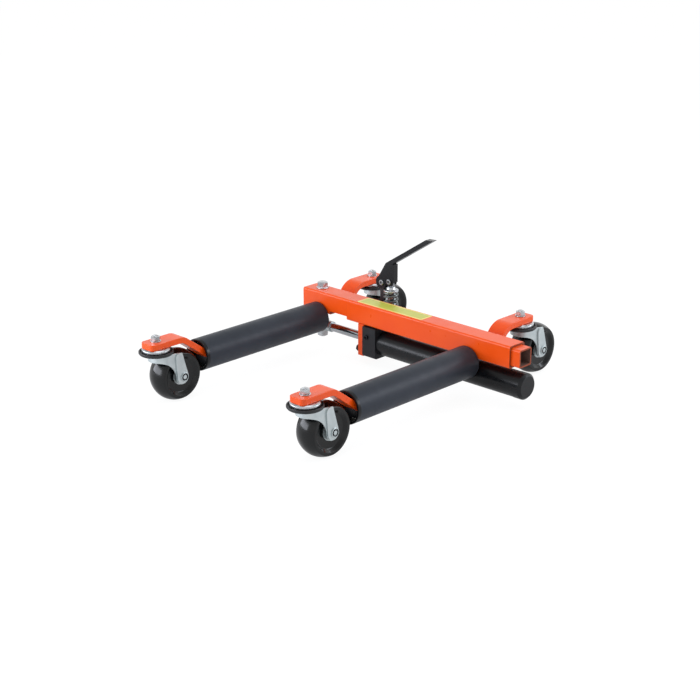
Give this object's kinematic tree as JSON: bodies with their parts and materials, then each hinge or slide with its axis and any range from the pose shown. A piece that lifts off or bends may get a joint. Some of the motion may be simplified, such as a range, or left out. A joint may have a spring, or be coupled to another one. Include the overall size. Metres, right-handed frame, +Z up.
{
  "type": "vehicle positioning jack",
  "caption": "Hydraulic wheel dolly: roller arms on swivel casters, one sliding on a telescopic beam, drawn together by a foot-pumped ram to lift a car's tyre.",
  "frame": {"origin": "on the floor under the beam's axis, midway between the two arms at rest", "axes": "+X along the beam from the sliding arm to the fixed arm, +Y away from the arms' tips, +Z up"},
  "size_m": [0.585, 0.738, 0.2782],
  "materials": {
    "orange_paint": "gloss powder coat",
    "roller_paint": "satin",
    "black_paint": "semi-gloss",
    "pump_casting": "painted casting",
    "zinc": "dull zinc plate",
    "bright_zinc": "bright zinc plate",
    "bare_steel": "turned",
    "black_bolts": "black oxide",
    "chrome_rod": "polished",
    "spring_steel": "zinc plated wire",
    "wheel_plastic": "moulded gloss",
    "ring_plastic": "moulded",
    "nylon": "natural",
    "seal_rubber": "moulded"
  },
  "bodies": {
    "frame": {"outer_beam": "orange_paint", "right_arm_root": "orange_paint", "right_arm_core": "black_paint", "right_front_bracket": "orange_paint", "right_rear_bracket": "orange_paint", "right_king_bolts": "bright_zinc", "right_upper_races": "bright_zinc", "pump_plate": "orange_paint", "pump_block": "pump_casting", "pump_bolts": "black_bolts", "ram_cylinder": "black_paint", "cylinder_cap": "black_paint", "rod_gland": "nylon", "pump_barrel": "bare_steel", "pump_spring": "spring_steel", "pivot_pin": "bright_zinc"},
    "sliding_arm": {"inner_beam": "orange_paint", "slide_head": "orange_paint", "left_arm_root": "orange_paint", "left_arm_core": "black_paint", "left_front_bracket": "orange_paint", "left_rear_bracket": "orange_paint", "left_king_bolts": "bright_zinc", "left_upper_races": "bright_zinc", "ram_rod": "chrome_rod", "ram_piston": "bare_steel", "piston_seals": "seal_rubber", "rod_eye": "zinc", "anchor_bolt": "bright_zinc", "anchor_spacer": "bare_steel"},
    "left_roller_turn": {"left_roller": "roller_paint", "left_roller_bushes": "nylon"},
    "right_roller_turn": {"right_roller": "roller_paint", "right_roller_bushes": "nylon"},
    "pedal_lever": {"pedal": "black_paint"},
    "pump_plunger": {"plunger": "bare_steel", "spring_cap": "bright_zinc", "plunger_pin": "bright_zinc"},
    "release": {"release_screw": "black_bolts"},
    "front_left_swivel": {"front_left_fork": "zinc", "front_left_dust_ring": "ring_plastic", "front_left_axle": "zinc"},
    "front_left_roll": {"front_left_wheel": "wheel_plastic", "front_left_wheel_bush": "zinc"},
    "rear_left_swivel": {"rear_left_fork": "zinc", "rear_left_dust_ring": "ring_plastic", "rear_left_axle": "zinc"},
    "rear_left_roll": {"rear_left_wheel": "wheel_plastic", "rear_left_wheel_bush": "zinc"},
    "front_right_swivel": {"front_right_fork": "zinc", "front_right_dust_ring": "ring_plastic", "front_right_axle": "zinc"},
    "front_right_roll": {"front_right_wheel": "wheel_plastic", "front_right_wheel_bush": "zinc"},
    "rear_right_swivel": {"rear_right_fork": "zinc", "rear_right_dust_ring": "ring_plastic", "rear_right_axle": "zinc"},
    "rear_right_roll": {"rear_right_wheel": "wheel_plastic", "rear_right_wheel_bush": "zinc"}
  },
  "joints": [
    {"name": "arm_slide", "type": "slide", "parent": "frame", "child": "sliding_arm", "axis": [-1, 0, 0], "range_m": [0, 0.2]},
    {"name": "left_roller_spin", "type": "hinge", "parent": "sliding_arm", "child": "left_roller_turn", "pos_m": [-0.204, -0.2, 0.075], "axis": [0, 1, 0], "continuous": true},
    {"name": "right_roller_spin", "type": "hinge", "parent": "frame", "child": "right_roller_turn", "pos_m": [0.204, -0.2, 0.075], "axis": [0, 1, 0], "continuous": true},
    {"name": "front_left_swivel_turn", "type": "hinge", "parent": "sliding_arm", "child": "front_left_swivel", "pos_m": [-0.204, -0.465, 0.11], "axis": [0, 0, 1], "continuous": true},
    {"name": "front_left_wheel_spin", "type": "hinge", "parent": "front_left_swivel", "child": "front_left_roll", "pos_m": [-0.204, -0.421, 0.052], "axis": [1, 0, 0], "continuous": true},
    {"name": "rear_left_swivel_turn", "type": "hinge", "parent": "sliding_arm", "child": "rear_left_swivel", "pos_m": [-0.204, 0.143, 0.11], "axis": [0, 0, 1], "continuous": true},
    {"name": "rear_left_wheel_spin", "type": "hinge", "parent": "rear_left_swivel", "child": "rear_left_roll", "pos_m": [-0.204, 0.187, 0.052], "axis": [1, 0, 0], "continuous": true},
    {"name": "front_right_swivel_turn", "type": "hinge", "parent": "frame", "child": "front_right_swivel", "pos_m": [0.204, -0.465, 0.11], "axis": [0, 0, 1], "continuous": true},
    {"name": "front_right_wheel_spin", "type": "hinge", "parent": "front_right_swivel", "child": "front_right_roll", "pos_m": [0.204, -0.421, 0.052], "axis": [1, 0, 0], "continuous": true},
    {"name": "rear_right_swivel_turn", "type": "hinge", "parent": "frame", "child": "rear_right_swivel", "pos_m": [0.204, 0.143, 0.11], "axis": [0, 0, 1], "continuous": true},
    {"name": "rear_right_wheel_spin", "type": "hinge", "parent": "rear_right_swivel", "child": "rear_right_roll", "pos_m": [0.204, 0.187, 0.052], "axis": [1, 0, 0], "continuous": true},
    {"name": "pedal_press", "type": "hinge", "parent": "frame", "child": "pedal_lever", "pos_m": [-0.0765, 0.042, 0.164], "axis": [0, 1, 0], "range_deg": [0, 25], "stiffness_Nm_per_rad": 2, "springref_deg": -14.32},
    {"name": "plunger_stroke", "type": "slide", "parent": "frame", "child": "pump_plunger", "axis": [0, 0, -1], "range_m": [0, 0.0094], "deforming": ["pump_spring"]},
    {"name": "release_turn", "type": "hinge", "parent": "frame", "child": "release", "pos_m": [-0.062, -0.026, 0.062], "axis": [0, -1, 0], "range_deg": [0, 180]}
  ],
  "couplings": [
    {"joint": "plunger_stroke", "follows": "pedal_press", "m_per_rad": 0.02093}
  ]
}
